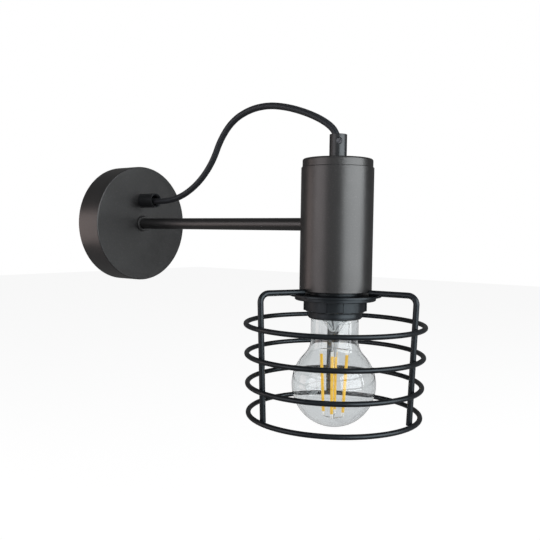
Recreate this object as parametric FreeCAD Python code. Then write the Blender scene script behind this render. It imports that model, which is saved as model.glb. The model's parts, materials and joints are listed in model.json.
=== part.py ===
import FreeCAD, Part
import math
import os

# Cage wall light with an outside flex. Millimetres.
# Origin: centre of the canopy at the wall. +Y into the wall, +Z up, +X along the wall.
# The arm runs along -Y and the lamp hangs on a vertical axis at its end.

Vector = FreeCAD.Vector
os.makedirs("parts", exist_ok=True)

# ---- clearances ----
seat_gap = 0.1          # between flat faces of pieces that move apart
thread_gap = 0.05       # radial, between a male and a female thread
hole_gap = 0.15         # radial, between a stud and the hole it passes
fit_gap = 0.05          # radial, between a spigot and its bore
loose_gap = 0.3         # radial, between turning pieces and around the arm collar

# ---- canopy and wall bracket ----
canopy_radius = 50.7
canopy_depth = 25.3
canopy_wall = 1.2
canopy_edge = 0.8
bracket_width = 20.0
bracket_thickness = 2.0
bracket_end_gap = 2.0
bracket_lug_depth = 14.0
wall_hole_spacing = 60.0
wall_hole_radius = 2.6
cable_hole_radius = 7.0
side_screw_radius = 2.0
side_screw_length = 7.0
side_screw_y = -9.0
side_screw_sink = 0.3
earth_screw_z = 19.0
earth_screw_radius = 2.0
earth_head_radius = 4.0
earth_head_height = 2.6

# ---- terminal block ----
block_length = 24.0
block_height = 12.0
block_depth = 12.0
block_top_z = -12.0
pole_pitch = 8.0
pole_count = 3
sleeve_radius = 1.9
sleeve_bore = 1.3
clamp_screw_radius = 1.25
clamp_screw_height = 5.0
clamp_screw_inset = 3.0
block_screw_radius = 1.2
block_screw_head = 2.0

# ---- arm ----
arm_reach = 233.0
arm_radius = 4.75
arm_thread_radius = 3.95
arm_thread_inside = 9.5
collar_radius = 7.0
collar_thickness = 2.2
collar_chamfer = 0.7
arm_washer_radius = 11.0
arm_washer_thickness = 1.6
arm_nut_width = 13.0
arm_nut_thickness = 4.0
saddle_radius = 8.0
saddle_thickness = 2.5

# ---- cord grips, the same on the canopy and on the head ----
grip_radius = 6.25
grip_length = 17.5
grip_bore = 4.3
grip_mouth = 5.7
grip_mouth_depth = 1.6
grip_height = 20.5
pipe_radius = 4.95
pipe_bore = 4.0
grip_spigot = 8.5
grip_socket = 8.0
grip_nut_width = 14.0
grip_nut_thickness = 4.0
grip_screw_radius = 2.0
grip_screw_from_mouth = 5.0
grip_screw_sink = 0.45
grip_screw_clear = 3.4
grip_screw_hole = 2.7
head_screw_angle = 220.0
screw_slot = 0.7
slot_depth = 0.9

# ---- head: tube and cap ----
body_radius = 26.0
body_wall = 1.5
body_length = 88.4
body_top_z = 40.5
body_edge = 0.6
cap_radius = 25.2
cap_height = 6.0
cap_edge = 1.5
cap_plate = 3.0
cap_spigot_depth = 5.0
cap_spigot_wall = 2.0

# ---- lampholder ----
dome_neck_radius = 8.0
dome_neck_height = 7.0
dome_height = 30.0
dome_shoulder_drop = 18.0
holder_radius = 20.1
holder_wall = 1.8
holder_height = 44.0
holder_drop = 2.1
thread_length = 17.3
thread_radius = 19.6
thread_depth = 0.6
thread_pitch = 2.5
thread_chamfer = 0.9
core_thickness = 6.0
core_gap = 0.4
shell_bore = 13.4
shell_wall = 0.5
shell_depth = 28.0
terminal_offset = 8.0
terminal_side = 5.0
terminal_rise = 5.0
leaf_width = 6.0
leaf_thickness = 0.6
dome_screw_radius = 1.5

# ---- cage ----
plate_radius = 33.0
plate_thickness = 1.2
bar_inner_radius = 26.6
leg_wire = 2.1
leg_bend = 6.0
leg_count = 3
leg_first_angle = 37.0
leg_overhang = 0.5
ring_wire = 1.8
ring_count = 4
ring_top_radius = 64.2
ring_taper = 0.8
ring_drop = 22.0
ring_pitch = 21.5
weld_gap = 0.05

# ---- shade ring ----
flange_radius = 29.2
flange_thickness = 2.8
flange_edge = 0.5
skirt_radius = 22.3
skirt_height = 8.2
skirt_chamfer = 1.2
pad_count = 6
pad_angle = 30.0
pad_first_angle = 3.0
pad_rise = 0.5
pad_inset = 0.8

# ---- bulb: pear shape with a 27 mm screw cap ----
globe_radius = 30.5
globe_drop = 50.7
cone_angle = 42.0
neck_radius = 17.2
neck_drop = 3.5
glass_wall = 0.7
cap_inset = 2.3
bulb_cap_radius = 13.1
bulb_cap_wall = 0.5
bulb_cap_length = 21.5
bulb_thread_pitch = 3.629
bulb_thread_depth = 0.8
bulb_skirt = 4.0
insulator_height = 2.6
insulator_top_radius = 5.6
tip_radius = 4.6
tip_height = 1.6
stem_flare_radius = 11.0
stem_neck_drop = 15.0
stem_length = 31.0
stem_radius = 1.9
filament_radius = 1.1
filament_count = 4
filament_first_angle = 25.0
filament_top_radius = 9.5
filament_top_drop = 26.0
filament_bottom_radius = 7.0
filament_length = 48.0
support_wire = 0.35
support_rise = 1.5
driver_size = (14.0, 1.6, 14.0)

# ---- flex ----
cord_radius = 2.6
lead_radius = 0.9
lead_offset = 1.4
# Route of the flex in the plane of the arm, as (y, z), from the canopy to the head.
cord_route = [
    (-16.5, 20.5), (-30.0, 20.0), (-46.0, 19.3), (-65.0, 20.5), (-82.5, 26.5),
    (-98.6, 37.2), (-111.3, 51.7), (-119.3, 68.6), (-132.0, 82.5), (-149.5, 89.6),
    (-168.0, 91.2), (-186.5, 88.1), (-204.5, 82.3), (-219.5, 75.4), (-229.6, 68.0),
    (-232.8, 59.5), (-233.0, 50.0),
]

# ---- places worked out from the sizes above ----
lamp_y = -arm_reach
canopy_face_y = -canopy_depth
canopy_bore = canopy_radius - canopy_wall
body_bore = body_radius - body_wall
body_rim_z = body_top_z - body_length
holder_shoulder_z = body_rim_z - holder_drop
holder_lip_z = holder_shoulder_z - thread_length
dome_top_z = holder_shoulder_z + holder_height
ring_top_z = holder_shoulder_z - ring_drop
cap_joint_z = holder_lip_z + cap_inset
neck_top_z = cap_joint_z - neck_drop
globe_centre_z = cap_joint_z - globe_drop
stem_flare_z = cap_joint_z + bulb_skirt
stem_neck_z = cap_joint_z - stem_neck_drop
stem_end_z = cap_joint_z - stem_length
filament_top_z = cap_joint_z - filament_top_drop
filament_bottom_z = filament_top_z - filament_length
arm_hole_radius = arm_thread_radius + hole_gap
pipe_hole_radius = pipe_radius + hole_gap
cap_top_z = body_top_z + cap_height
grip_top_z = cap_top_z + grip_length
plate_top_z = holder_shoulder_z - seat_gap
plate_bottom_z = plate_top_z - plate_thickness
flange_top_z = plate_bottom_z - seat_gap
flange_bottom_z = flange_top_z - flange_thickness
skirt_bottom_z = flange_bottom_z - skirt_height
bar_z = plate_top_z + leg_wire
bulb_tip_z = cap_joint_z + bulb_cap_length + insulator_height + tip_height
dome_bottom_z = dome_top_z - dome_height
holder_bore = holder_radius - holder_wall
skirt_spigot_top_z = dome_bottom_z + holder_wall * 2.5
core_bottom_z = skirt_spigot_top_z
core_top_z = core_bottom_z + core_thickness
block_bottom_z = block_top_z - block_height


def ring_radius(index):
    """Centreline radius of a cage ring, counted from the top."""
    return ring_top_radius - ring_taper * index


def ring_z(index):
    """Height of a cage ring, counted from the top."""
    return ring_top_z - ring_pitch * index


def leg_radius(z):
    """Distance of a leg's centreline from the lamp axis, just inside the rings."""
    slope = ring_taper / ring_pitch
    return ring_top_radius - slope * (ring_top_z - z) - ring_wire - leg_wire - weld_gap


def placed(shape, base, axis):
    """Turns a shape made along +Z to run along an axis from a base point."""
    turned_shape = shape.copy()
    turned_shape.Placement = FreeCAD.Placement(base, FreeCAD.Rotation(Vector(0, 0, 1), axis))
    return turned_shape


def rod(radius, start, end):
    """Round bar between two points."""
    along = end - start
    return Part.makeCylinder(radius, along.Length, start, along)


def pipe(outer, inner, start, end):
    """Round tube between two points."""
    return rod(outer, start, end).cut(rod(inner, start, end))


def turned(profile):
    """Solid of revolution about Z of a closed outline of (radius, height) points."""
    points = [Vector(radius, 0, height) for radius, height in profile]
    outline = Part.makePolygon(points + [points[0]])
    return Part.Face(outline).revolve(Vector(0, 0, 0), Vector(0, 0, 1), 360)


def on_lamp_axis(shape):
    """Moves a shape made about Z to the lamp axis."""
    shape.translate(Vector(0, lamp_y, 0))
    return shape


def lamp_point(radius, angle, z):
    """Point around the lamp axis; angle in degrees from +X."""
    turn = math.radians(angle)
    return Vector(radius * math.cos(turn), lamp_y + radius * math.sin(turn), z)


def hex_nut(width, thickness, bore):
    """Hexagon nut standing on Z = 0, with its corners bevelled."""
    corner = width / math.sqrt(3)
    points = [
        Vector(corner * math.cos(math.radians(60 * i)), corner * math.sin(math.radians(60 * i)), 0)
        for i in range(7)
    ]
    prism = Part.Face(Part.makePolygon(points)).extrude(Vector(0, 0, thickness))
    bevel = (corner - width / 2) * 0.6
    barrel = turned([
        (0, 0), (corner - bevel, 0), (corner, bevel), (corner, thickness - bevel),
        (corner - bevel, thickness), (0, thickness),
    ])
    return prism.common(barrel).cut(Part.makeCylinder(bore, thickness))


def slotted_screw(radius, length):
    """Headless screw standing on Z = 0 with a driver slot in its top."""
    body = Part.makeCylinder(radius, length)
    slot = Part.makeBox(radius * 3, screw_slot, slot_depth)
    slot.translate(Vector(-radius * 1.5, -screw_slot / 2, length - slot_depth))
    return body.cut(slot)


def ridges(crest, root, pitch, top, bottom):
    """Outline points of a row of round thread ridges, going down."""
    points = []
    z = top
    while z - pitch >= bottom:
        points += [(crest, z - pitch * 0.2), (root, z - pitch * 0.6), (root, z - pitch * 0.75)]
        z -= pitch
    return points


def route_tube(points, radius, name):
    """Tube along straight runs joined by tangent arcs; prints its radii and volume."""
    runs = [points[i + 1] - points[i] for i in range(len(points) - 1)]
    edges = []
    radii = []
    length = 0.0
    last = points[0]
    for i in range(1, len(points) - 1):
        before = Vector(runs[i - 1]).normalize()
        after = Vector(runs[i]).normalize()
        turn = before.getAngle(after)
        reach = 0.45 * min(runs[i - 1].Length, runs[i].Length)
        bend = reach / math.tan(turn / 2)
        start = points[i] - before * reach
        end = points[i] + after * reach
        bisector = (after - before).normalize()
        centre = points[i] + bisector * (bend / math.cos(turn / 2))
        middle = centre - bisector * bend
        edges.append(Part.LineSegment(last, start).toShape())
        edges.append(Part.Arc(start, middle, end).toShape())
        radii.append(round(bend, 1))
        length += (start - last).Length + bend * turn
        last = end
    edges.append(Part.LineSegment(last, points[-1]).toShape())
    length += (points[-1] - last).Length
    path = Part.Wire(edges)
    section = Part.Wire(Part.makeCircle(radius, points[0], runs[0]))
    tube = path.makePipeShell([section], True, True)
    share = tube.Volume / (math.pi * radius * radius * length)
    print(name, "length", round(length, 1), "radii", radii, "volume share", round(share, 4))
    return tube


def save(name, *solids):
    """Writes one node, a single solid or a group of separate ones."""
    pieces = []
    for solid in solids:
        pieces += solid.Solids
    shape = pieces[0] if len(pieces) == 1 else Part.makeCompound(pieces)
    shape.exportStep("parts/" + name + ".step")
    print(name, len(pieces), shape.isValid(), round(shape.Volume, 1))


# ---- wall side ----

def make_wall_bracket():
    half = canopy_bore - bracket_end_gap
    wide = bracket_width / 2
    thick = bracket_thickness
    strip = Part.makeBox(bracket_width, thick, half * 2, Vector(-wide, -thick, -half))
    for side in (-1, 1):
        low = min(side * half, side * (half - thick))
        lug = Part.makeBox(bracket_width, bracket_lug_depth, thick, Vector(-wide, -bracket_lug_depth, low))
        strip = strip.fuse(lug)
        wall_z = side * wall_hole_spacing / 2
        strip = strip.cut(rod(wall_hole_radius, Vector(0, 1, wall_z), Vector(0, -thick - 1, wall_z)))
        screw_start = Vector(0, side_screw_y, side * (half - thick - 1))
        screw_end = Vector(0, side_screw_y, side * (half + 1))
        strip = strip.cut(rod(side_screw_radius + thread_gap, screw_start, screw_end))
    strip = strip.cut(rod(cable_hole_radius, Vector(0, 1, 0), Vector(0, -thick - 1, 0)))
    earth = rod(earth_screw_radius + thread_gap, Vector(0, 1, earth_screw_z), Vector(0, -thick - 1, earth_screw_z))
    strip = strip.cut(earth)
    fixing_z = block_top_z - block_height / 2
    fixing = rod(block_screw_radius + thread_gap, Vector(pole_pitch / 2, 1, fixing_z),
                 Vector(pole_pitch / 2, -thick - 1, fixing_z))
    save("wall_bracket", strip.cut(fixing).removeSplitter())


def make_side_screws():
    screws = []
    for side in (-1, 1):
        base = Vector(0, side_screw_y, side * (canopy_radius - side_screw_sink - side_screw_length))
        screws.append(placed(slotted_screw(side_screw_radius, side_screw_length), base, Vector(0, 0, side)))
    save("side_screws", *screws)


def make_earth_screw():
    seat_y = -bracket_thickness
    shank = rod(earth_screw_radius, Vector(0, -seat_gap, earth_screw_z), Vector(0, seat_y, earth_screw_z))
    head = placed(slotted_screw(earth_head_radius, earth_head_height), Vector(0, seat_y, earth_screw_z),
                  Vector(0, -1, 0))
    save("earth_screw", shank.fuse(head).removeSplitter())


def make_canopy_cover():
    """Shallow drum, closed at the front, with a rounded front edge."""
    drum = Part.makeCylinder(canopy_radius, canopy_depth)
    front = [edge for edge in drum.Edges if edge.BoundBox.ZMin > canopy_depth - 0.01 and len(edge.Vertexes) == 1]
    drum = drum.makeFillet(canopy_edge, front)
    hollow = Part.makeCylinder(canopy_bore, canopy_depth - canopy_wall)
    cover = placed(drum.cut(hollow), Vector(0, 0, 0), Vector(0, -1, 0))
    outside = Vector(0, canopy_face_y - 1, 0)
    inside = Vector(0, canopy_face_y + canopy_wall + 1, 0)
    up = Vector(0, 0, grip_height)
    cover = cover.cut(rod(arm_hole_radius, outside, inside))
    cover = cover.cut(rod(pipe_hole_radius, outside + up, inside + up))
    for side in (-1, 1):
        start = Vector(0, side_screw_y, side * (canopy_bore - 1))
        end = Vector(0, side_screw_y, side * (canopy_radius + 1))
        cover = cover.cut(rod(side_screw_radius + hole_gap, start, end))
    save("canopy_cover", cover)


def pole_x(index):
    return (index - (pole_count - 1) / 2) * pole_pitch


def make_terminal_block():
    back_y = -bracket_thickness
    front_y = back_y - block_depth
    sleeve_y = back_y - block_depth / 2
    block = Part.makeBox(block_length, block_depth, block_height,
                         Vector(-block_length / 2, front_y, block_bottom_z))
    sleeves = []
    screws = []
    for i in range(pole_count):
        low = Vector(pole_x(i), sleeve_y, block_bottom_z)
        high = Vector(pole_x(i), sleeve_y, block_top_z)
        block = block.cut(rod(sleeve_radius + fit_gap, low, high))
        sleeve = pipe(sleeve_radius, sleeve_bore, low, high)
        for z in (block_top_z - clamp_screw_inset, block_bottom_z + clamp_screw_inset):
            mouth = Vector(pole_x(i), front_y, z)
            floor = Vector(pole_x(i), sleeve_y - sleeve_bore + 0.2, z)
            block = block.cut(rod(clamp_screw_radius + hole_gap, mouth, floor))
            sleeve = sleeve.cut(rod(clamp_screw_radius + thread_gap, mouth, floor))
            seat = Vector(pole_x(i), sleeve_y - sleeve_bore, z)
            screws.append(placed(slotted_screw(clamp_screw_radius, clamp_screw_height - 1), seat, Vector(0, -1, 0)))
        sleeves.append(sleeve)
    fixing = Vector(pole_pitch / 2, 0, block_top_z - block_height / 2)
    shank_hole = rod(block_screw_radius + hole_gap, fixing + Vector(0, back_y, 0), fixing + Vector(0, front_y, 0))
    head_y = back_y - block_depth / 2
    head_hole = rod(block_screw_head + hole_gap, fixing + Vector(0, head_y, 0), fixing + Vector(0, front_y, 0))
    save("terminal_block", block.cut(shank_hole).cut(head_hole))
    save("terminal_sleeves", *sleeves)
    save("terminal_screws", *screws)
    shank = rod(block_screw_radius, fixing + Vector(0, -seat_gap, 0), fixing + Vector(0, head_y, 0))
    head = placed(slotted_screw(block_screw_head, 2.0), fixing + Vector(0, head_y, 0), Vector(0, -1, 0))
    save("terminal_block_screw", shank.fuse(head).removeSplitter())


# ---- arm ----

def make_arm():
    """Solid round arm, coped to the head tube, with a threaded stud at each end."""
    tube_face_y = lamp_y + body_radius
    shaft = rod(arm_radius, Vector(0, canopy_face_y, 0), Vector(0, lamp_y, 0))
    shaft = shaft.cut(Part.makeCylinder(body_radius, arm_radius * 4, Vector(0, lamp_y, -arm_radius * 2)))
    back_stud = rod(arm_thread_radius, Vector(0, canopy_face_y + arm_thread_inside, 0),
                    Vector(0, canopy_face_y - 5, 0))
    front_stud = rod(arm_thread_radius, Vector(0, tube_face_y + 5, 0),
                     Vector(0, tube_face_y - body_wall - arm_thread_inside, 0))
    save("arm", shaft.fuse([back_stud, front_stud]).removeSplitter())


def make_arm_collar():
    bore = arm_radius + loose_gap
    collar = turned([
        (bore, 0), (collar_radius, 0), (collar_radius, collar_thickness - collar_chamfer),
        (collar_radius - collar_chamfer, collar_thickness), (bore, collar_thickness),
    ])
    save("arm_collar", placed(collar, Vector(0, canopy_face_y, 0), Vector(0, -1, 0)))


def make_arm_fasteners():
    inner_face = canopy_face_y + canopy_wall
    washer_end = inner_face + arm_washer_thickness
    save("arm_washer", pipe(arm_washer_radius, arm_hole_radius, Vector(0, inner_face, 0), Vector(0, washer_end, 0)))
    nut = hex_nut(arm_nut_width, arm_nut_thickness, arm_thread_radius + thread_gap)
    save("arm_nut", placed(nut, Vector(0, washer_end, 0), Vector(0, 1, 0)))
    tube_inside = lamp_y + body_bore
    flat_y = tube_inside - saddle_thickness
    saddle = pipe(saddle_radius, arm_hole_radius, Vector(0, lamp_y + body_radius, 0), Vector(0, flat_y, 0))
    bore = Part.makeCylinder(body_bore, saddle_radius * 4, Vector(0, lamp_y, -saddle_radius * 2))
    save("arm_saddle_washer", saddle.common(bore))
    save("arm_head_nut", placed(nut, Vector(0, flat_y, 0), Vector(0, -1, 0)))


# ---- cord grips ----

def grip_shape(has_spigot, screw_turn):
    """Cord grip along +Z from its seat, with its screw hole turned to one side."""
    mouth_z = grip_length
    bore_start = -grip_spigot if has_spigot else grip_socket
    outline = [
        (grip_bore, mouth_z - grip_mouth_depth), (grip_mouth, mouth_z), (grip_radius - 0.2, mouth_z),
        (grip_radius, mouth_z - 0.2), (grip_radius, 0),
    ]
    if has_spigot:
        outline += [(pipe_radius, 0), (pipe_radius, bore_start), (pipe_bore, bore_start), (pipe_bore, 0),
                    (grip_bore, 0)]
    else:
        socket = pipe_radius + thread_gap
        outline += [(socket, 0), (socket, bore_start), (grip_bore, bore_start)]
    screw_z = mouth_z - grip_screw_from_mouth
    turn = math.radians(screw_turn)
    out = Vector(math.cos(turn), math.sin(turn), 0)
    centre = Vector(0, 0, screw_z)
    hole = rod(grip_screw_radius + thread_gap, centre, centre + out * (grip_radius + 1))
    sink = Part.makeCone(grip_screw_radius, grip_screw_hole, grip_screw_sink + 0.1,
                         centre + out * (grip_radius - grip_screw_sink), out)
    body = turned(outline).cut(hole).cut(sink)
    screw_length = grip_radius - grip_screw_sink - grip_screw_clear
    screw = placed(slotted_screw(grip_screw_radius, screw_length), centre + out * grip_screw_clear, out)
    return body, screw


def make_cord_grips():
    seat = Vector(0, canopy_face_y, grip_height)
    outward = Vector(0, -1, 0)
    body, screw = grip_shape(True, 0)
    turn = FreeCAD.Placement(seat, FreeCAD.Rotation(Vector(0, 0, 1), outward))
    save("canopy_cord_grip", body.transformGeometry(turn.toMatrix()))
    save("canopy_grip_screw", screw.transformGeometry(turn.toMatrix()))
    nut = hex_nut(grip_nut_width, grip_nut_thickness, pipe_radius + thread_gap)
    save("canopy_grip_nut", placed(nut, Vector(0, canopy_face_y + canopy_wall, grip_height), Vector(0, 1, 0)))
    body, screw = grip_shape(False, head_screw_angle)
    lift = Vector(0, lamp_y, cap_top_z)
    body.translate(lift)
    screw.translate(lift)
    save("head_cord_grip", body)
    save("head_grip_screw", screw)


# ---- head ----

def make_head_body():
    outer = Part.makeCylinder(body_radius, body_length)
    rims = [edge for edge in outer.Edges if len(edge.Vertexes) == 1]
    outer = outer.makeFillet(body_edge, rims)
    tube = outer.cut(Part.makeCylinder(body_bore, body_length))
    tube.translate(Vector(0, lamp_y, body_rim_z))
    save("head_body", tube.cut(rod(arm_hole_radius, Vector(0, lamp_y, 0), Vector(0, lamp_y + body_radius * 2, 0))))


def make_head_cap():
    plate = Part.makeCylinder(cap_radius, cap_height)
    top = [edge for edge in plate.Edges if edge.BoundBox.ZMin > cap_height - 0.01 and len(edge.Vertexes) == 1]
    plate = plate.makeFillet(cap_edge, top)
    spigot_radius = body_bore - fit_gap
    spigot = Part.makeCylinder(spigot_radius, cap_spigot_depth, Vector(0, 0, -cap_spigot_depth))
    hollow_height = cap_spigot_depth + cap_height - cap_plate
    hollow = Part.makeCylinder(spigot_radius - cap_spigot_wall, hollow_height, Vector(0, 0, -cap_spigot_depth))
    cap = plate.fuse(spigot).removeSplitter().cut(hollow).cut(Part.makeCylinder(pipe_hole_radius, cap_height))
    cap.translate(Vector(0, lamp_y, body_top_z))
    save("head_cap", cap)
    nut = hex_nut(grip_nut_width, grip_nut_thickness, pipe_radius + thread_gap)
    nut.translate(Vector(0, lamp_y, cap_top_z - cap_plate - grip_nut_thickness))
    save("cap_nut", nut)


def make_head_pipe():
    """Threaded pipe that hangs the lampholder from the cap and carries the leads."""
    top = Vector(0, lamp_y, cap_top_z + grip_socket)
    bottom = Vector(0, lamp_y, dome_top_z - dome_neck_height + 1)
    save("head_pipe", pipe(pipe_radius, pipe_bore, top, bottom))


# ---- lampholder ----

def make_lampholder_dome():
    neck_end = dome_top_z - dome_neck_height
    shoulder = dome_top_z - dome_shoulder_drop
    wall = holder_wall
    mid_r = (dome_neck_radius + holder_radius) / 2 + 2.5
    mid_z = (neck_end + shoulder) / 2 + 1.8
    dome = turned([
        (pipe_radius + thread_gap, dome_top_z), (dome_neck_radius, dome_top_z), (dome_neck_radius, neck_end + 1),
        (mid_r, mid_z), (holder_radius, shoulder), (holder_radius, dome_bottom_z),
        (holder_bore, dome_bottom_z), (holder_bore, shoulder - wall / 3), (mid_r - wall * 0.7, mid_z - wall),
        (dome_neck_radius, neck_end - wall / 2), (pipe_radius + thread_gap, neck_end - wall / 2),
    ])
    screw_z = dome_top_z - dome_neck_height / 2
    lock = rod(dome_screw_radius + thread_gap, Vector(0, 0, screw_z), Vector(0, -dome_neck_radius - 1, screw_z))
    save("lampholder_dome", on_lamp_axis(dome.cut(lock)))
    start = pipe_radius + seat_gap
    screw = placed(slotted_screw(dome_screw_radius, dome_neck_radius - start), Vector(0, -start, screw_z),
                   Vector(0, -1, 0))
    save("dome_lock_screw", on_lamp_axis(screw))


def make_lampholder_skirt():
    """Lower casing with an outside thread for the shade ring."""
    root = thread_radius - thread_depth
    spigot = holder_bore - fit_gap
    bore = thread_radius - thread_depth - holder_wall
    top = holder_shoulder_z - thread_pitch / 4
    outline = [
        (spigot, skirt_spigot_top_z), (spigot, dome_bottom_z), (holder_radius, dome_bottom_z),
        (holder_radius, holder_shoulder_z), (root, holder_shoulder_z),
    ]
    outline += ridges(thread_radius, root, thread_pitch, top, holder_lip_z + thread_pitch)
    outline += [
        (thread_radius, holder_lip_z + thread_pitch * 0.8), (thread_radius, holder_lip_z + thread_chamfer),
        (thread_radius - thread_chamfer, holder_lip_z), (bore, holder_lip_z),
        (bore, dome_bottom_z), (spigot - holder_wall, dome_bottom_z + 1), (spigot - holder_wall, skirt_spigot_top_z),
    ]
    save("lampholder_skirt", on_lamp_axis(turned(outline)))


def make_lampholder_core():
    """Insulating core between dome and skirt, with two terminals on top."""
    core = Part.makeCylinder(holder_bore - core_gap, core_thickness, Vector(0, 0, core_bottom_z))
    blocks = []
    screws = []
    half = terminal_side / 2
    for side in (-1, 1):
        x = side * terminal_offset
        block = Part.makeBox(terminal_side, terminal_side, terminal_rise, Vector(x - half, -half, core_top_z))
        wire_hole = Part.makeCylinder(lead_radius + hole_gap, terminal_rise, Vector(x, 0, core_top_z + 1))
        screw_z = core_top_z + terminal_rise / 2
        tip_y = -(lead_radius + hole_gap)
        screw_hole = rod(clamp_screw_radius + thread_gap, Vector(x, 0, screw_z), Vector(x, -half - 1, screw_z))
        blocks.append(on_lamp_axis(block.cut(wire_hole).cut(screw_hole)))
        screw = placed(slotted_screw(clamp_screw_radius, clamp_screw_height - 2), Vector(x, tip_y, screw_z),
                       Vector(0, -1, 0))
        screws.append(on_lamp_axis(screw))
    save("lampholder_core", on_lamp_axis(core))
    save("lampholder_terminals", *blocks)
    save("lampholder_terminal_screws", *screws)


def make_lampholder_contacts():
    """Screw shell for the bulb, and the centre spring leaf above it."""
    lift = shell_wall * 1.6
    outer = shell_bore + lift
    bottom = core_bottom_z - shell_depth
    shell = turned([
        (shell_bore, core_bottom_z - shell_wall), (shell_bore, bottom), (outer, bottom),
        (outer, core_bottom_z - shell_wall), (outer + 1, core_bottom_z - shell_wall), (outer + 1, core_bottom_z),
        (shell_bore - 1, core_bottom_z), (shell_bore - 1, core_bottom_z - shell_wall),
    ])
    save("lampholder_shell", on_lamp_axis(shell))
    foot = shell_bore - 3
    touch_z = bulb_tip_z + loose_gap
    thick = leaf_thickness
    outline = [
        Vector(foot, 0, core_bottom_z), Vector(foot - 6, 0, core_bottom_z), Vector(foot - 6, 0, core_bottom_z - thick),
        Vector(foot - 1.5, 0, core_bottom_z - thick), Vector(tip_radius, 0, touch_z + thick),
        Vector(-tip_radius + 1, 0, touch_z + thick), Vector(-tip_radius + 1, 0, touch_z),
        Vector(tip_radius, 0, touch_z), Vector(foot, 0, core_bottom_z - thick),
    ]
    leaf = Part.Face(Part.makePolygon(outline + [outline[0]])).extrude(Vector(0, leaf_width, 0))
    leaf.translate(Vector(0, -leaf_width / 2, 0))
    save("centre_contact", on_lamp_axis(leaf))


# ---- cage and shade ring ----

def make_cage():
    hole = holder_radius - (holder_radius - thread_radius) * 0.6
    top = Vector(0, lamp_y, plate_top_z)
    save("cage_plate", pipe(plate_radius, hole, top, Vector(0, lamp_y, plate_bottom_z)))
    leg_end_z = ring_z(ring_count - 1) - leg_overhang
    for i in range(leg_count):
        angle = leg_first_angle + i * 360 / leg_count
        save("cage_leg_" + str(i + 1), cage_leg(angle, leg_end_z))
    for i in range(ring_count):
        ring = Part.makeTorus(ring_radius(i), ring_wire, Vector(0, lamp_y, ring_z(i)), Vector(0, 0, 1))
        save("cage_ring_" + str(i + 1), ring)


def cage_leg(angle, end_z):
    """One bent wire: a bar that lies on the plate and a leg that runs down."""
    z = bar_z + weld_gap
    corner_radius = leg_radius(z)
    slope = math.atan(ring_taper / ring_pitch)
    down = Vector(-math.sin(slope), 0, -math.cos(slope))
    corner = Vector(corner_radius, 0, z)
    turn = math.pi / 2 + slope
    reach = leg_bend * math.tan(turn / 2)
    bar_end = corner - Vector(reach, 0, 0)
    leg_start = corner + down * reach
    bend_centre = bar_end - Vector(0, 0, leg_bend)
    halfway = (corner - bend_centre).normalize()
    leg_end = corner + down * ((z - end_z) / math.cos(slope))
    start = Vector(bar_inner_radius, 0, z)
    path = Part.Wire([
        Part.LineSegment(start, bar_end).toShape(),
        Part.Arc(bar_end, bend_centre + halfway * leg_bend, leg_start).toShape(),
        Part.LineSegment(leg_start, leg_end).toShape(),
    ])
    section = Part.Wire(Part.makeCircle(leg_wire, start, Vector(1, 0, 0)))
    leg = path.makePipeShell([section], True, True)
    leg.rotate(Vector(0, 0, 0), Vector(0, 0, 1), angle)
    return on_lamp_axis(leg)


def make_shade_ring():
    """Screwed ring that clamps the cage plate, with raised grip pads."""
    bore = thread_radius + loose_gap
    edge = flange_edge
    skirt_low = skirt_bottom_z
    outline = [
        (bore, flange_top_z), (flange_radius - edge, flange_top_z), (flange_radius, flange_top_z - edge),
        (flange_radius, flange_bottom_z + edge), (flange_radius - edge, flange_bottom_z),
        (skirt_radius, flange_bottom_z), (skirt_radius, skirt_low + skirt_chamfer),
        (skirt_radius - skirt_chamfer, skirt_low), (bore, skirt_low),
    ]
    groove_top = flange_top_z - thread_pitch / 4
    grooves = ridges(bore + thread_depth, bore, thread_pitch, groove_top, skirt_low)
    ring = turned(outline + grooves[::-1])
    pad_top = flange_bottom_z
    pad_low = skirt_low + skirt_chamfer - pad_inset + 0.4
    sweep = pad_angle
    for i in range(pad_count):
        pad = Part.makeCylinder(skirt_radius + pad_rise, pad_top - pad_low, Vector(0, 0, pad_low),
                                Vector(0, 0, 1), sweep)
        core = Part.makeCylinder(bore + thread_depth + 0.5, pad_top - pad_low, Vector(0, 0, pad_low))
        pad = pad.cut(core)
        pad.rotate(Vector(0, 0, 0), Vector(0, 0, 1), pad_first_angle - sweep / 2 + i * 360 / pad_count)
        ring = ring.fuse(pad)
    save("shade_ring", on_lamp_axis(ring.removeSplitter()))


# ---- bulb ----

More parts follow.
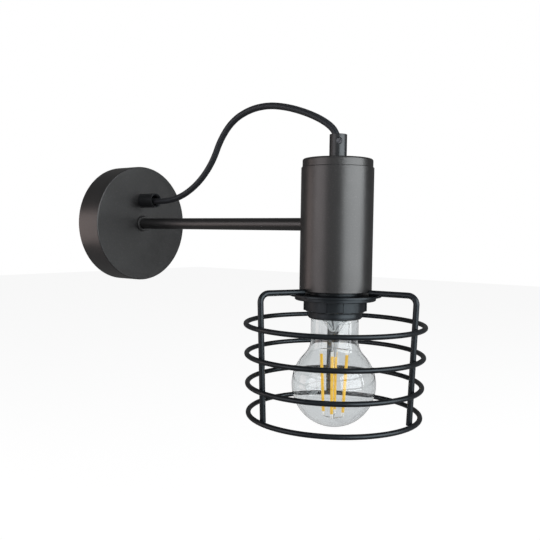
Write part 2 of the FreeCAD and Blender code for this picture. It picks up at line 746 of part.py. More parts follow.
def glass_face(shrink):
    """Half section of the bulb's glass, drawn to its outside or its inside."""
    radius = globe_radius - shrink
    neck = neck_radius - shrink
    slope = math.radians(cone_angle)
    centre = Vector(0, 0, globe_centre_z)
    bottom = Vector(0, 0, globe_centre_z - radius)
    touch = centre + Vector(radius * math.cos(slope), 0, radius * math.sin(slope))
    neck_low = Vector(neck, 0, touch.z + (touch.x - neck) / math.tan(slope))
    side = centre + Vector(radius * math.cos(slope - 1), 0, radius * math.sin(slope - 1))
    neck_high = Vector(neck, 0, neck_top_z)
    joint_radius = bulb_cap_radius - bulb_cap_wall - fit_gap - shrink
    joint = Vector(joint_radius, 0, cap_joint_z)
    rim = Vector(joint_radius, 0, cap_joint_z + bulb_skirt)
    ease = 6.0
    ease_up = neck_low + Vector(0, 0, ease)
    ease_down = neck_low + (touch - neck_low).normalize() * ease
    ease_radius = ease / math.tan(slope / 2)
    ease_centre = ease_up + Vector(ease_radius, 0, 0)
    ease_mid = ease_centre + (neck_low - ease_centre).normalize() * ease_radius
    edges = [
        Part.Arc(bottom, side, touch).toShape(),
        Part.LineSegment(touch, ease_down).toShape(),
        Part.Arc(ease_down, ease_mid, ease_up).toShape(),
        Part.LineSegment(ease_up, neck_high).toShape(),
        Part.LineSegment(neck_high, joint).toShape(),
        Part.LineSegment(joint, rim).toShape(),
        Part.LineSegment(rim, Vector(0, 0, rim.z)).toShape(),
        Part.LineSegment(Vector(0, 0, rim.z), bottom).toShape(),
    ]
    return Part.Face(Part.Wire(edges))


def make_bulb_glass():
    outer = glass_face(0).revolve(Vector(0, 0, 0), Vector(0, 0, 1), 360)
    inner = glass_face(glass_wall).revolve(Vector(0, 0, 0), Vector(0, 0, 1), 360)
    save("bulb_glass", on_lamp_axis(outer.cut(inner)))


def make_bulb_cap():
    crest = bulb_cap_radius
    root = crest - bulb_thread_depth
    inner = crest - bulb_cap_wall
    top = cap_joint_z + bulb_cap_length
    skirt_top = cap_joint_z + bulb_skirt
    outline = [(insulator_top_radius * 2 - 1, top), (root - 1, top), (root, top - 1)]
    outline += ridges(crest, root, bulb_thread_pitch, top - 1, skirt_top)
    outline += [(crest, skirt_top), (crest, cap_joint_z), (inner, cap_joint_z), (inner, skirt_top)]
    outline += [(root - bulb_cap_wall, skirt_top + 1), (root - bulb_cap_wall, top - 1 - bulb_cap_wall),
                (insulator_top_radius * 2 - 1, top - bulb_cap_wall - 0.6)]
    save("bulb_cap", on_lamp_axis(turned(outline)))
    cone_top = top + insulator_height
    insulator = turned([(0, top - 1), (insulator_top_radius * 2 - 1, top - 1), (insulator_top_radius * 2 - 1, top),
                        (insulator_top_radius, cone_top), (0, cone_top)])
    save("bulb_insulator", on_lamp_axis(insulator))
    tip = turned([(0, cone_top), (tip_radius, cone_top), (tip_radius, cone_top + tip_height / 2),
                  (tip_radius / 2, cone_top + tip_height), (0, cone_top + tip_height)])
    save("bulb_contact", on_lamp_axis(tip))
    wide, thick, tall = driver_size
    driver = Part.makeBox(wide, thick, tall, Vector(-wide / 2, -thick / 2, top - 1 - tall))
    save("bulb_driver", on_lamp_axis(driver))


def make_bulb_inside():
    """Glass stem, filaments and the wires that hold them."""
    joint_inner = bulb_cap_radius - bulb_cap_wall - fit_gap - glass_wall
    top = stem_flare_z
    stem = turned([
        (joint_inner - fit_gap, top), (joint_inner - fit_gap, top - glass_wall),
        (stem_flare_radius, top - bulb_skirt - 1), (stem_radius, stem_neck_z), (stem_radius, stem_end_z),
        (0, stem_end_z), (0, stem_neck_z + stem_radius * 2), (stem_radius, stem_neck_z + stem_radius * 2),
        (stem_flare_radius - glass_wall, top - bulb_skirt), (joint_inner - 1, top),
    ])
    save("bulb_stem", on_lamp_axis(stem))
    filaments = []
    arms = []
    drop = Vector(0, 0, support_wire + hole_gap)
    foot_z = filament_bottom_z - drop.z - support_rise
    hanger = rod(support_wire, lamp_point(0, 0, stem_end_z - fit_gap), lamp_point(0, 0, foot_z - support_wire))
    for i in range(filament_count):
        angle = filament_first_angle + i * 360 / filament_count
        high = lamp_point(filament_top_radius, angle, filament_top_z)
        low = lamp_point(filament_bottom_radius, angle, filament_bottom_z)
        filaments.append(rod(filament_radius, high, low))
        root = lamp_point(stem_radius + fit_gap, angle, high.z + support_rise)
        arms.append(rod(support_wire, root, high + drop))
        hanger = hanger.fuse(rod(support_wire, lamp_point(0, angle, foot_z), low - drop))
    save("filaments", *filaments)
    save("filament_wires", *arms, hanger)


# ---- flex and leads ----

def make_cord():
    points = [Vector(0, y, z) for y, z in cord_route]
    save("cord", route_tube(points, cord_radius, "cord"))


def make_leads():
    block_y = -bracket_thickness - block_depth / 2
    start = Vector(0, cord_route[0][0] + loose_gap, cord_route[0][1])
    canopy_leads = []
    head_leads = []
    cord_end = Vector(0, cord_route[-1][0], cord_route[-1][1] - loose_gap)
    pipe_end = dome_top_z - dome_neck_height
    for side in (-1, 1):
        near = Vector(side * lead_offset, 0, 0)
        pole = side * pole_pitch
        canopy_leads.append(route_tube([
            start + near, start + near + Vector(side * 0.5, block_y / 2 + 9, -1),
            Vector(side * 4.5, block_y - 0.5, 12), Vector(pole, block_y, 0),
            Vector(pole, block_y, block_top_z - 4),
        ], lead_radius, "canopy lead"))
        terminal = Vector(side * terminal_offset, lamp_y, core_top_z + terminal_rise - 1.5)
        head_leads.append(route_tube([
            cord_end + near, Vector(side * lead_offset * 1.2, lamp_y, 15), Vector(side * lead_offset, lamp_y, pipe_end),
            Vector(side * terminal_offset, lamp_y, terminal.z + 3.5), terminal,
        ], lead_radius, "head lead"))
    save("canopy_leads", *canopy_leads)
    save("head_leads", *head_leads)


make_wall_bracket()
make_side_screws()
make_earth_screw()
make_canopy_cover()
make_terminal_block()
make_arm()
make_arm_collar()
make_arm_fasteners()
make_cord_grips()
make_head_body()
make_head_cap()
make_head_pipe()
make_lampholder_dome()
make_lampholder_skirt()
make_lampholder_core()
make_lampholder_contacts()
make_cage()
make_shade_ring()
make_bulb_glass()
make_bulb_cap()
make_bulb_inside()
make_cord()
make_leads()
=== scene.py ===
import bpy
import json
import math
from mathutils import Matrix, Vector


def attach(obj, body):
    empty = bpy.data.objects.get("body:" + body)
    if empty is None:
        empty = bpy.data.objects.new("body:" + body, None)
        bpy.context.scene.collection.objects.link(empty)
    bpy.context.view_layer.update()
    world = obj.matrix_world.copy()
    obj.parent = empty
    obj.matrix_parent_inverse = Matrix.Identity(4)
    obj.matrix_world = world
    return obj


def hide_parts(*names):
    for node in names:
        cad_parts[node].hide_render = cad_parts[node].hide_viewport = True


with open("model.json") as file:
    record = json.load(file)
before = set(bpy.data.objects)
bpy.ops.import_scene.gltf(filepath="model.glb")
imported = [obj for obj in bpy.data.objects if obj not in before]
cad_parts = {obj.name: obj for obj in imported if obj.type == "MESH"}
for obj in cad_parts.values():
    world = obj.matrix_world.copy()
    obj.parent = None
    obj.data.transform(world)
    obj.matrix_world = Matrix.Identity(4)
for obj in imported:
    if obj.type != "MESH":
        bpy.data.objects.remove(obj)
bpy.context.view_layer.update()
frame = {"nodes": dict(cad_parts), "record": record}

nodes = frame["nodes"]
lampAxis = Vector((0.0, -0.233, 0.0))  # the lamp hangs on this upright axis
print("frame loaded:", len(nodes), "CAD nodes")


# camera, at the photograph's viewpoint

viewpoint = {
    "place": (-0.4203, -0.5058, -0.0063),
    "right": (0.62185, -0.78304, 0.01429),
    "up": (0.03362, 0.04492, 0.99843),
    "back": (-0.78245, -0.62039, 0.05425),
    "lens": 46.23,  # millimetres
    "nearest": 0.01,
}


def addCamera(look):
    bpy.ops.object.camera_add(location=look["place"])
    camera = bpy.context.object
    camera.name = "photoCamera"
    columns = Matrix((look["right"], look["up"], look["back"])).transposed()
    camera.matrix_world = Matrix.Translation(look["place"]) @ columns.to_4x4()
    camera.data.lens = look["lens"]
    camera.data.clip_start = look["nearest"]
    bpy.context.scene.camera = camera


addCamera(viewpoint)
print("camera placed")


# material helpers

skinDepth = 0.0001  # metres, the bump of a nearly smooth skin


def startMaterial(name, **sockets):
    material = bpy.data.materials.new(name)
    material.use_nodes = True
    shader = material.node_tree.nodes["Principled BSDF"]
    for socket, value in sockets.items():
        shader.inputs[socket.replace("_", " ")].default_value = value
    return material, material.node_tree, shader


def addNode(tree, kind, **settings):
    node = tree.nodes.new(kind)
    for key, value in settings.items():
        if key in node.inputs:
            node.inputs[key].default_value = value
        else:
            setattr(node, key, value)
    return node


def objectNoise(tree, scale, detail=2.0, roughness=0.5, stretch=(1, 1, 1)):
    coords = addNode(tree, "ShaderNodeTexCoord")
    mapping = addNode(tree, "ShaderNodeMapping", Scale=stretch)
    noise = addNode(tree, "ShaderNodeTexNoise", Scale=scale, Detail=detail, Roughness=roughness)
    tree.links.new(coords.outputs["Object"], mapping.inputs["Vector"])
    tree.links.new(mapping.outputs["Vector"], noise.inputs["Vector"])
    return noise.outputs["Fac"]


def ramp(tree, source, places, tones):
    # from the first colour or grey to the second, between two places
    node = addNode(tree, "ShaderNodeValToRGB")
    for element, place, tone in zip(node.color_ramp.elements, places, tones):
        element.position = place
        colour = (tone, tone, tone) if isinstance(tone, float) else tone
        element.color = (*colour, 1.0)
    tree.links.new(source, node.inputs["Fac"])
    return node.outputs["Color"]


def objectAxis(tree, axis):
    # the object coordinate along one axis
    coords = addNode(tree, "ShaderNodeTexCoord")
    split = addNode(tree, "ShaderNodeSeparateXYZ")
    tree.links.new(coords.outputs["Object"], split.inputs["Vector"])
    return split.outputs[axis]


def addBump(tree, shader, height, strength, distance=skinDepth):
    bump = addNode(tree, "ShaderNodeBump", Strength=strength, Distance=distance)
    tree.links.new(height, bump.inputs["Height"])
    tree.links.new(bump.outputs["Normal"], shader.inputs["Normal"])


def mixColour(tree, factor, first, second, blend="MIX"):
    # the mix node has sockets for every data type: 0 is its factor, 6 and 7 its colours
    node = addNode(tree, "ShaderNodeMix", data_type="RGBA", blend_type=blend)
    for socket, value in ((0, factor), (6, first), (7, second)):
        if isinstance(value, (float, tuple)):
            node.inputs[socket].default_value = value
        else:
            tree.links.new(value, node.inputs[socket])
    return node.outputs[2]


# finishes: all procedural, on object coordinates, the flex's on its own map

powderLook = {
    "colour": (0.0085, 0.0082, 0.0086),
    "speckle": (0.030, 0.027, 0.027),
    "grain": 1900.0,
    "roughness": (0.31, 0.38),
    "specular": 0.95,
    "sheen": (1.0, 1.0, 1.0),
    "bump": 0.30,
}
wireLook = {
    "colour": (0.0050, 0.0058, 0.0075),
    "speckle": (0.014, 0.016, 0.021),
    "grain": 1100.0,
    "roughness": (0.30, 0.40),
    "specular": 0.50,
    "sheen": (0.80, 0.92, 1.0),
    "bump": 0.12,
}
plasticLook = {
    "colour": (0.0070, 0.0078, 0.0098),
    "speckle": (0.016, 0.018, 0.023),
    "grain": 1500.0,
    "roughness": (0.34, 0.44),
    "specular": 0.50,
    "sheen": (0.80, 0.92, 1.0),
    "bump": 0.10,
}
gripLook = {
    "colour": (0.0095, 0.0100, 0.0115),
    "speckle": (0.018, 0.019, 0.022),
    "grain": 900.0,
    "roughness": (0.32, 0.40),
    "specular": 0.70,
    "sheen": (0.92, 0.97, 1.0),
    "bump": 0.08,
}


coatGrain = {
    "speckShare": 0.55,  # scale of the specks against the grain's
    "slowScale": 34.0,
    "shade": (0.86, 1.0),
    "depth": 0.00012,
}


def coatedFinish(name, look):
    # dark coat with a fine grain, tiny paler specks and a slow change of gloss
    material, tree, shader = startMaterial(
        name, Specular_IOR_Level=look["specular"], Specular_Tint=(*look["sheen"], 1.0))
    grain = objectNoise(tree, look["grain"], detail=2.0, roughness=0.6)
    specks = objectNoise(tree, look["grain"] * coatGrain["speckShare"], detail=1.0)
    slow = objectNoise(tree, coatGrain["slowScale"], detail=3.0, roughness=0.55)
    colour = ramp(tree, specks, (0.55, 0.80), (look["colour"], look["speckle"]))
    shade = ramp(tree, slow, (0.30, 0.70), coatGrain["shade"])
    tree.links.new(mixColour(tree, 1.0, colour, shade, "MULTIPLY"), shader.inputs["Base Color"])
    gloss = ramp(tree, slow, (0.32, 0.68), look["roughness"])
    tree.links.new(gloss, shader.inputs["Roughness"])
    addBump(tree, shader, grain, look["bump"], coatGrain["depth"])
    return material


metalLook = {
    # roughness where it is bright and where it is dull
    "zinc": {"colour": (0.58, 0.58, 0.56), "dull": (0.40, 0.41, 0.41), "roughness": (0.26, 0.42)},
    "brass": {"colour": (0.74, 0.56, 0.27), "dull": (0.52, 0.38, 0.18), "roughness": (0.24, 0.40)},
    "nickel": {"colour": (0.70, 0.69, 0.66), "dull": (0.52, 0.51, 0.49), "roughness": (0.18, 0.32)},
    "blackSteel": {
        "colour": (0.12, 0.12, 0.13), "dull": (0.06, 0.06, 0.065), "roughness": (0.30, 0.42)},
}


metalGrain = {
    "patches": 160.0,
    "lines": 420.0,
    "stretch": (1, 1, 9),
    "bump": 0.12,
    "depth": 0.00008,
}


def metalFinish(name, look):
    # plated or plain metal: faint brushed lines and duller patches
    material, tree, shader = startMaterial(name, Metallic=1.0)
    patches = objectNoise(tree, metalGrain["patches"], detail=4.0, roughness=0.6)
    lines = objectNoise(tree, metalGrain["lines"], stretch=metalGrain["stretch"])
    colour = ramp(tree, patches, (0.34, 0.62), (look["dull"], look["colour"]))
    tree.links.new(colour, shader.inputs["Base Color"])
    smooth, rough = look["roughness"]
    gloss = ramp(tree, patches, (0.35, 0.65), (rough, smooth))
    tree.links.new(gloss, shader.inputs["Roughness"])
    addBump(tree, shader, lines, metalGrain["bump"], metalGrain["depth"])
    return material


mouldedLook = {
    "pale": {
        "colour": (0.80, 0.79, 0.75), "shade": (0.70, 0.69, 0.64),
        "roughness": 0.45, "grain": 180.0},
    "blackGlass": {
        "colour": (0.03, 0.03, 0.034), "shade": (0.018, 0.018, 0.02),
        "roughness": 0.15, "grain": 240.0},
    "board": {
        "colour": (0.05, 0.20, 0.11), "shade": (0.03, 0.13, 0.07),
        "roughness": 0.40, "grain": 500.0},
}


def mouldedFinish(name, look):
    # pale or coloured moulding with slight mottling
    material, tree, shader = startMaterial(name, Roughness=look["roughness"])
    mottle = objectNoise(tree, look["grain"], detail=3.0, roughness=0.55)
    colour = ramp(tree, mottle, (0.35, 0.65), (look["shade"], look["colour"]))
    tree.links.new(colour, shader.inputs["Base Color"])
    fine = objectNoise(tree, look["grain"] * 6, detail=1.0)
    addBump(tree, shader, fine, strength=0.08)
    return material


glassLook = {
    "tint": (0.80, 0.815, 0.82),
    "thick": (0.73, 0.75, 0.76),
    "drift": 26.0,
    "index": 1.47,
}


def glassFinish(name, look):
    # clear blown glass: a faint grey tint that drifts slowly
    material, tree, shader = startMaterial(
        name, Roughness=0.0, IOR=look["index"], Transmission_Weight=1.0)
    slow = objectNoise(tree, look["drift"])
    colour = ramp(tree, slow, (0.3, 0.7), (look["thick"], look["tint"]))
    tree.links.new(colour, shader.inputs["Base Color"])
    return material


phosphorLook = {
    "coat": (1.0, 0.62, 0.05),
    "deep": (0.92, 0.50, 0.03),
    "end": (0.88, 0.87, 0.84),
    "middle": -0.115,  # height of the sticks' middle
    "halfLength": 0.021,  # of the coat
    # painted glow: strength of the light the unlit filaments give off
    "glow": 0.40,
    "roughness": 0.42,
    "beads": 900.0,
}


def phosphorFinish(name, look):
    # yellow silicone coat, a little uneven, that stops short of the pale ends, and gives off a
    # painted glow of its own colour though the bulb is unlit
    material, tree, shader = startMaterial(
        name, Roughness=look["roughness"], Emission_Strength=look["glow"])
    beads = objectNoise(tree, look["beads"])
    coat = ramp(tree, beads, (0.3, 0.65), (look["deep"], look["coat"]))
    coated = addNode(tree, "ShaderNodeMath", operation="COMPARE")
    coated.inputs[1].default_value = look["middle"]
    coated.inputs[2].default_value = look["halfLength"]
    tree.links.new(objectAxis(tree, "Z"), coated.inputs[0])
    colour = mixColour(tree, coated.outputs[0], (*look["end"], 1.0), coat)
    tree.links.new(colour, shader.inputs["Base Color"])
    # painted glow: the coat's colour is also given off as light
    tree.links.new(colour, shader.inputs["Emission Color"])
    addBump(tree, shader, beads, strength=0.2)
    return material


leadLook = {
    "brown": (0.16, 0.065, 0.03),
    "blue": (0.03, 0.10, 0.33),
    "roughness": 0.45,
    "wear": 300.0,
}


def leadFinish(name, look):
    # one lead brown and one blue, told apart by their side of the arm's plane
    material, tree, shader = startMaterial(name, Roughness=look["roughness"])
    side = addNode(tree, "ShaderNodeMath", operation="GREATER_THAN")
    side.inputs[1].default_value = 0.0
    tree.links.new(objectAxis(tree, "X"), side.inputs[0])
    worn = objectNoise(tree, look["wear"])
    shade = ramp(tree, worn, (0.3, 0.7), (0.82, 1.0))
    pair = mixColour(tree, side.outputs[0], (*look["brown"], 1.0), (*look["blue"], 1.0))
    tree.links.new(mixColour(tree, 1.0, pair, shade, "MULTIPLY"), shader.inputs["Base Color"])
    addBump(tree, shader, worn, strength=0.08)
    return material


textileLook = {
    "yarn": (0.012, 0.012, 0.014),
    # painted shade: the colour put in the creases between yarns
    "paintedCreaseShade": (0.0015, 0.0015, 0.0015),
    "fibre": (0.045, 0.046, 0.052),
    "roughness": 0.44,
    "sheen": (0.78, 0.90, 1.0),
    "fuzz": 0.06,
    "fibreScale": 60.0,
    "fibreStretch": (1.0, 130.0, 1.0),
}


def textileFinish(name, look):
    # woven sheath: painted shade darkens the creases between yarns, paler fibres along them
    material, tree, shader = startMaterial(
        name, Roughness=look["roughness"], Specular_Tint=(*look["sheen"], 1.0),
        Sheen_Weight=look["fuzz"], Sheen_Roughness=0.4)
    relief = addNode(tree, "ShaderNodeAttribute", attribute_name="yarnHeight")
    uv = addNode(tree, "ShaderNodeUVMap", uv_map="sheath")
    fibres = addNode(tree, "ShaderNodeTexNoise", Scale=look["fibreScale"], Detail=2.0)
    mapping = addNode(tree, "ShaderNodeMapping", Scale=look["fibreStretch"])
    tree.links.new(uv.outputs["UV"], mapping.inputs["Vector"])
    tree.links.new(mapping.outputs["Vector"], fibres.inputs["Vector"])
    yarn = ramp(tree, fibres.outputs["Fac"], (0.42, 0.72), (look["yarn"], look["fibre"]))
    # painted shade: low yarn height blends the colour towards the crease shade
    depth = ramp(tree, relief.outputs["Fac"], (0.25, 0.75), (0.0, 1.0))
    colour = mixColour(tree, depth, (*look["paintedCreaseShade"], 1.0), yarn)
    tree.links.new(colour, shader.inputs["Base Color"])
    addBump(tree, shader, fibres.outputs["Fac"], strength=0.25)
    return material


finishes = {
    "powder_black": coatedFinish("powderCoat", powderLook),
    "wire_black": coatedFinish("wireLacquer", wireLook),
    "plastic_black": coatedFinish("blackMoulding", plasticLook),
    "grip_black": coatedFinish("smoothBlack", gripLook),
    "screw_black": metalFinish("blackenedSteel", metalLook["blackSteel"]),
    "steel_plated": metalFinish("zincPlate", metalLook["zinc"]),
    "brass": metalFinish("plainBrass", metalLook["brass"]),
    "cap_nickel": metalFinish("nickelPlate", metalLook["nickel"]),
    "plastic_white": mouldedFinish("paleMoulding", mouldedLook["pale"]),
    "insulator_black": mouldedFinish("blackGlass", mouldedLook["blackGlass"]),
    "driver_green": mouldedFinish("driverBoard", mouldedLook["board"]),
    "bulb_glass": glassFinish("clearGlass", glassLook),
    "filament_yellow": phosphorFinish("phosphorCoat", phosphorLook),
    "cord_textile": textileFinish("textileSheath", textileLook),
    "lead_insulation": leadFinish("leadInsulation", leadLook),
}
nodeSlots = {row["node"]: row["material_slot"] for row in frame["record"]["subparts"]}


def dressNode(name):
    # a CAD node keeps its mesh and takes the finish of its slot
    piece = nodes[name]
    if not piece.material_slots:
        piece.data.materials.append(None)
    for place in piece.material_slots:
        place.material = finishes[nodeSlots[name]]


for name in nodes:
    dressNode(name)
print("finishes made:", len(finishes))


# modelling helpers

def deselectAll():
    for piece in bpy.context.selected_objects:
        piece.select_set(False)


def selectOnly(piece):
    deselectAll()
    bpy.context.view_layer.objects.active = piece
    piece.select_set(True)


def faceOutwards(piece):
    selectOnly(piece)
    bpy.ops.object.mode_set(mode="EDIT")
    bpy.ops.mesh.select_mode(type="VERT")
    bpy.ops.mesh.select_all(action="SELECT")
    bpy.ops.mesh.normals_make_consistent(inside=False)
    bpy.ops.object.mode_set(mode="OBJECT")


def settle(piece, name, slotName, body, standsFor, smoothAngle):
    # finished piece: place in the mesh, smooth faces, finish, slot and body
    piece.name = name
    piece.data.name = name
    selectOnly(piece)
    bpy.ops.object.transform_apply(location=True, rotation=True, scale=True)
    bpy.ops.object.shade_smooth_by_angle(angle=math.radians(smoothAngle))
    piece.data.materials.clear()
    piece.data.materials.append(finishes[slotName])
    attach(piece, body)
    if standsFor:
        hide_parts(*standsFor)
    deselectAll()


# flex: a woven tube along a smooth line that the listed points lead

flexLook = {
    "route": [
        (0.0, -0.0165, 0.0205), (0.0, -0.0300, 0.0200), (0.0, -0.0460, 0.0193),
        (0.0, -0.0650, 0.0205), (0.0, -0.0825, 0.0265), (0.0, -0.0986, 0.0372),
        (0.0, -0.1113, 0.0517), (0.0, -0.1193, 0.0686), (0.0, -0.1320, 0.0825),
        (0.0, -0.1495, 0.0896), (0.0, -0.1680, 0.0912), (0.0, -0.1865, 0.0881),
        (0.0, -0.2045, 0.0823), (0.0, -0.2195, 0.0754), (0.0, -0.2296, 0.0680),
        (0.0, -0.2328, 0.0595), (0.0, -0.2330, 0.0500),
    ],
    "order": 3,
    "resolution": 32,
    "radius": 0.0026,
    "relief": 0.00022,
    "yarns": 12,
    "crown": (0.72, 0.28),  # height of a yarn, and its swing over and under the others
    "step": 0.00030,
    "around": 72,
    "length": 0.2645,
    "smoothAngle": 60.0,
}


def smoothLine(look):
    # points of a NURBS spline led by the route, read from a curve with no bevel
    curve = bpy.data.curves.new("flexLine", "CURVE")
    curve.dimensions = "3D"
    spline = curve.splines.new("NURBS")
    spline.points.add(len(look["route"]) - 1)
    for point, place in zip(spline.points, look["route"]):
        point.co = (*place, 1.0)
    spline.order_u = look["order"]
    spline.use_endpoint_u = True
    spline.resolution_u = look["resolution"]
    line = bpy.data.objects.new("flexLine", curve)
    bpy.context.scene.collection.objects.link(line)
    bpy.context.view_layer.update()
    drawn = bpy.data.meshes.new_from_object(
        line.evaluated_get(bpy.context.evaluated_depsgraph_get()))
    places = [vertex.co.copy() for vertex in drawn.vertices]
    bpy.data.objects.remove(line)
    bpy.data.curves.remove(curve)
    bpy.data.meshes.remove(drawn)
    return places


def evenSteps(places, step):
    # the same line, walked in equal steps
    total = sum((b - a).length for a, b in zip(places, places[1:]))
    count = round(total / step)
    walked, reached, result = 0.0, 0, [places[0]]
    for i in range(1, count):
        target = total * i / count
        while walked + (places[reached + 1] - places[reached]).length < target:
            walked += (places[reached + 1] - places[reached]).length
            reached += 1
        run = places[reached + 1] - places[reached]
        result.append(places[reached] + run * ((target - walked) / run.length))
    return result + [places[-1]], total


def weaveHeight(turn, along, pitch, look):
    # plain braid of two families of yarns; 0 in a crease, 1 on a crown
    rise, swing = look["crown"]
    first = turn * look["yarns"] + along / pitch
    second = turn * look["yarns"] - along / pitch
    across, down = first % 1.0, second % 1.0
    sign = 1 if (math.floor(first) + math.floor(second)) % 2 == 0 else -1
    over = math.sin(math.pi * across) * (rise + swing * sign * math.sin(math.pi * down))
    under = math.sin(math.pi * down) * (rise - swing * sign * math.sin(math.pi * across))
    return max(over, under)


def flexSkin(line, total, look):
    # rings of points around the line, and the height of the weave at each
    around, radius = look["around"], look["radius"]
    pitch = 2 * math.pi * radius / look["yarns"]
    last = len(line) - 1
    side = Vector((1, 0, 0))
    verts, heights = [], []
    for i, place in enumerate(line):
        tangent = (line[min(i + 1, last)] - line[max(i - 1, 0)]).normalized()
        lift = side.cross(tangent)
        along = total * i / last
        for j in range(around):
            turn = j / around
            height = weaveHeight(turn, along, pitch, look)
            reach = radius - look["relief"] * (1 - height)
            angle = 2 * math.pi * turn
            verts.append(place + (side * math.cos(angle) + lift * math.sin(angle)) * reach)
            heights.append(height)
    return verts, heights


def flexFaces(last, total, around):
    # faces between the rings and over both ends, and their spots on the sheath's map
    faces, spots = [], []
    for i in range(last):
        here, there = i * around, (i + 1) * around
        low, high = total * i / last, total * (i + 1) / last
        for j in range(around):
            k = (j + 1) % around
            left, right = j / around, (j + 1) / around
            faces.append((here + j, here + k, there + k, there + j))
            spots += [(left, low), (right, low), (right, high), (left, high)]
    faces.append(tuple(range(around - 1, -1, -1)))
    faces.append(tuple(last * around + j for j in range(around)))
    return faces, spots + [(0.0, 0.0)] * around * 2


def makeFlex(look):
    line, total = evenSteps(smoothLine(look), look["step"])
    verts, heights = flexSkin(line, total, look)
    faces, spots = flexFaces(len(line) - 1, total, look["around"])
    mesh = bpy.data.meshes.new("flex")
    mesh.from_pydata(verts, [], faces)
    layer = mesh.uv_layers.new(name="sheath")
    layer.data.foreach_set("uv", [value for spot in spots for value in spot])
    relief = mesh.attributes.new("yarnHeight", "FLOAT", "POINT")
    relief.data.foreach_set("value", heights)
    piece = bpy.data.objects.new("flex", mesh)
    bpy.context.scene.collection.objects.link(piece)
    faceOutwards(piece)
    settle(piece, "flex", "cord_textile", "base", ["cord"], look["smoothAngle"])


makeFlex(flexLook)
print("flex woven")


# bulb glass: a blown shell, drawn up ring by ring from the bottom of the globe

bulbLook = {
    "globe": (0.0305, -0.1157),  # radius, height of its centre
    "bottom": 0.98,  # share of a quarter turn below the centre where the drawing starts
    "cone": 42.0,  # degrees where the globe runs into the shoulder
    "neck": (0.0172, -0.0700),  # radius, height where it starts to close
    "rim": (0.01255, -0.0645, -0.0612),  # radius and heights of the part in the cap
    "ease": 0.0060,
    "glass": 0.0007,
    "segments": 128,
    "arcSteps": 56,
    "blendSteps": 12,
    "smoothAngle": 80.0,
}


def bulbProfile(look):
    # (radius, height) from the bottom up
    radius, centre = look["globe"]
    neck, neckTop = look["neck"]
    rim, rimLow, rimTop = look["rim"]
    cone = math.radians(look["cone"])
    bottom = -math.pi / 2 * look["bottom"]
    points = []
    for i in range(look["arcSteps"] + 1):
        angle = bottom + (cone - bottom) * i / look["arcSteps"]
        points.append((radius * math.cos(angle), centre + radius * math.sin(angle)))
    widest, start = radius * math.cos(cone), centre + radius * math.sin(cone)
    corner = start + (widest - neck) / math.tan(cone)
    bend = look["ease"] / math.tan(cone / 2)
    for i in range(look["blendSteps"] + 1):
        angle = cone * (1 - i / look["blendSteps"])
        height = corner + look["ease"] - bend * math.sin(angle)
        points.append((neck + bend * (1 - math.cos(angle)), height))
    for i in range(look["blendSteps"] + 1):
        angle = math.pi / 2 * i / look["blendSteps"]
        height = neckTop + (rimLow - neckTop) * math.sin(angle)
        points.append((rim + (neck - rim) * math.cos(angle), height))
    return points + [(rim, rimTop)]


def blowGlass(look):
    profile = bulbProfile(look)
    radius, height = profile[0]
    deselectAll()
    bpy.ops.mesh.primitive_circle_add(
        vertices=look["segments"], radius=radius, fill_type="TRIFAN",
        location=(lampAxis.x, lampAxis.y, height))
    piece = bpy.context.object
    bpy.ops.object.mode_set(mode="EDIT")
    bpy.ops.mesh.select_mode(type="EDGE")
    bpy.ops.mesh.select_all(action="DESELECT")
    bpy.ops.mesh.select_non_manifold()
    for nextRadius, nextHeight in profile[1:]:
        bpy.ops.mesh.extrude_region_move(
            TRANSFORM_OT_translate={"value": (0, 0, nextHeight - height)})
        ratio = nextRadius / radius
        centre = (lampAxis.x, lampAxis.y, nextHeight)
        bpy.ops.transform.resize(value=(ratio, ratio, 1), center_override=centre)
        radius, height = nextRadius, nextHeight
    bpy.ops.object.mode_set(mode="OBJECT")
    faceOutwards(piece)
    shell = piece.modifiers.new("wall", "SOLIDIFY")
    shell.thickness = look["glass"]
    shell.offset = -1.0
    bpy.ops.object.modifier_apply(modifier="wall")
    settle(piece, "bulbGlass", "bulb_glass", "bulb", ["bulb_glass"], look["smoothAngle"])


blowGlass(bulbLook)
print("bulb blown")


# weld beads: one where each cage leg meets each ring

weldLook = {
    "legs": 3,
    "firstAngle": 37.0,
    # radius and height of each ring, from the top
    "rings": [(0.0642, -0.0720), (0.0634, -0.0935), (0.0626, -0.1150), (0.0618, -0.1365)],
    "inset": 0.0018,
    "size": (0.0013, 0.0019, 0.0012),
    "segments": 20,
    "bands": 12,
    "smoothAngle": 80.0,
}


def makeWelds(look):
    beads = []
    for radius, height in look["rings"]:
        for leg in range(look["legs"]):
            angle = math.radians(look["firstAngle"] + leg * 360 / look["legs"])
            reach = radius - look["inset"]
            place = lampAxis + Vector((reach * math.cos(angle), reach * math.sin(angle), height))
            deselectAll()
            bpy.ops.mesh.primitive_uv_sphere_add(
                segments=look["segments"], ring_count=look["bands"], radius=1.0,
                location=place, rotation=(0, 0, angle), scale=look["size"])
            beads.append(bpy.context.object)
    for bead in beads:
        bead.select_set(True)
    bpy.context.view_layer.objects.active = beads[0]
    bpy.ops.object.join()
    settle(bpy.context.object, "weldBeads", "wire_black", "cage", (), look["smoothAngle"])


makeWelds(weldLook)
print("welds added")


# studio: pale floor, white surround, soft lamps

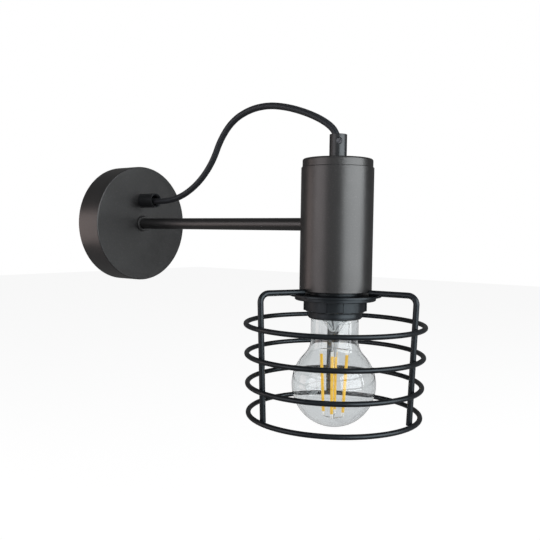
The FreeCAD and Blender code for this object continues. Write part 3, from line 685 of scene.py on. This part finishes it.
studioLook = {
    "floorPlace": (0, -0.2, -0.32),
    "floorSize": 8.0,
    "paint": 0.25,
    "glow": 0.92,
    "plain": 0.30,  # what mirrors and soft light see of the floor
    "ambient": 0.05,
    "mirrored": 0.09,  # share of the white that reflections see
    "lamps": [
        # name, place, size, power, colour
        ("broadRight", (-0.06, -1.72, 0.15), (2.10, 1.50), 38.0, (0.95, 0.985, 1.0)),
        ("slimLeft", (-1.47, 0.39, 0.10), (1.20, 1.30), 8.0, (1.0, 0.92, 0.93)),
        ("lowWarm", (-0.42, 0.50, -0.06), (0.34, 0.46), 0.60, (1.0, 0.82, 0.78)),
        ("nearFill", (-1.85, -0.98, 0.20), (1.20, 1.20), 1.8, (0.97, 0.98, 1.0)),
        ("overhead", (-0.55, -0.60, 1.60), (0.80, 0.80), 2.0, (0.93, 0.96, 1.0)),
    ],
}


def addLamp(name, place, size, power, colour):
    bpy.ops.object.light_add(type="AREA", location=place)
    lamp = bpy.context.object
    lamp.name = name
    lamp.data.shape = "RECTANGLE"
    lamp.data.size, lamp.data.size_y = size
    lamp.data.energy = power
    lamp.data.color = colour
    aim = lampAxis - Vector(place)
    lamp.rotation_euler = aim.to_track_quat("-Z", "Y").to_euler()


def seenDirectly(tree, mirrored):
    # 1 for what the camera or clear glass looks at, and a share of it in reflections
    path = addNode(tree, "ShaderNodeLightPath")
    share = addNode(tree, "ShaderNodeMath", operation="MULTIPLY")
    share.inputs[1].default_value = mirrored
    first = addNode(tree, "ShaderNodeMath", operation="MAXIMUM")
    second = addNode(tree, "ShaderNodeMath", operation="MAXIMUM")
    tree.links.new(path.outputs["Is Glossy Ray"], share.inputs[0])
    tree.links.new(path.outputs["Is Camera Ray"], first.inputs[0])
    tree.links.new(share.outputs[0], first.inputs[1])
    tree.links.new(first.outputs[0], second.inputs[0])
    tree.links.new(path.outputs["Is Transmission Ray"], second.inputs[1])
    return second.outputs[0]


def grey(value):
    return (value, value, value, 1.0)


def makeFloor(look):
    deselectAll()
    bpy.ops.mesh.primitive_plane_add(size=look["floorSize"], location=look["floorPlace"])
    floor = bpy.context.object
    floor.name = "studioFloor"
    material = bpy.data.materials.new("paleFloor")
    material.use_nodes = True
    tree = material.node_tree
    tree.nodes.clear()
    output = addNode(tree, "ShaderNodeOutputMaterial")
    paint = addNode(tree, "ShaderNodeBsdfDiffuse", Color=grey(look["paint"]))
    glow = addNode(tree, "ShaderNodeEmission", Color=grey(1.0), Strength=look["glow"])
    plain = addNode(tree, "ShaderNodeBsdfDiffuse", Color=grey(look["plain"]))
    both = addNode(tree, "ShaderNodeAddShader")
    pick = addNode(tree, "ShaderNodeMixShader")
    seen = seenDirectly(tree, look["mirrored"])
    tree.links.new(paint.outputs[0], both.inputs[0])
    tree.links.new(glow.outputs[0], both.inputs[1])
    tree.links.new(seen, pick.inputs["Fac"])
    tree.links.new(plain.outputs[0], pick.inputs[1])
    tree.links.new(both.outputs[0], pick.inputs[2])
    tree.links.new(pick.outputs[0], output.inputs["Surface"])
    floor.data.materials.append(material)


def makeWorld(look):
    world = bpy.context.scene.world or bpy.data.worlds.new("studio")
    bpy.context.scene.world = world
    world.use_nodes = True
    tree = world.node_tree
    tree.nodes.clear()
    output = addNode(tree, "ShaderNodeOutputWorld")
    room = addNode(tree, "ShaderNodeBackground", Color=grey(1.0), Strength=look["ambient"])
    white = addNode(tree, "ShaderNodeBackground", Color=grey(1.0), Strength=1.0)
    pick = addNode(tree, "ShaderNodeMixShader")
    tree.links.new(seenDirectly(tree, look["mirrored"]), pick.inputs["Fac"])
    tree.links.new(room.outputs[0], pick.inputs[1])
    tree.links.new(white.outputs[0], pick.inputs[2])
    tree.links.new(pick.outputs[0], output.inputs["Surface"])


makeFloor(studioLook)
makeWorld(studioLook)
for lampRow in studioLook["lamps"]:
    addLamp(*lampRow)
bpy.context.scene.view_settings.view_transform = "Standard"
print("studio lit")
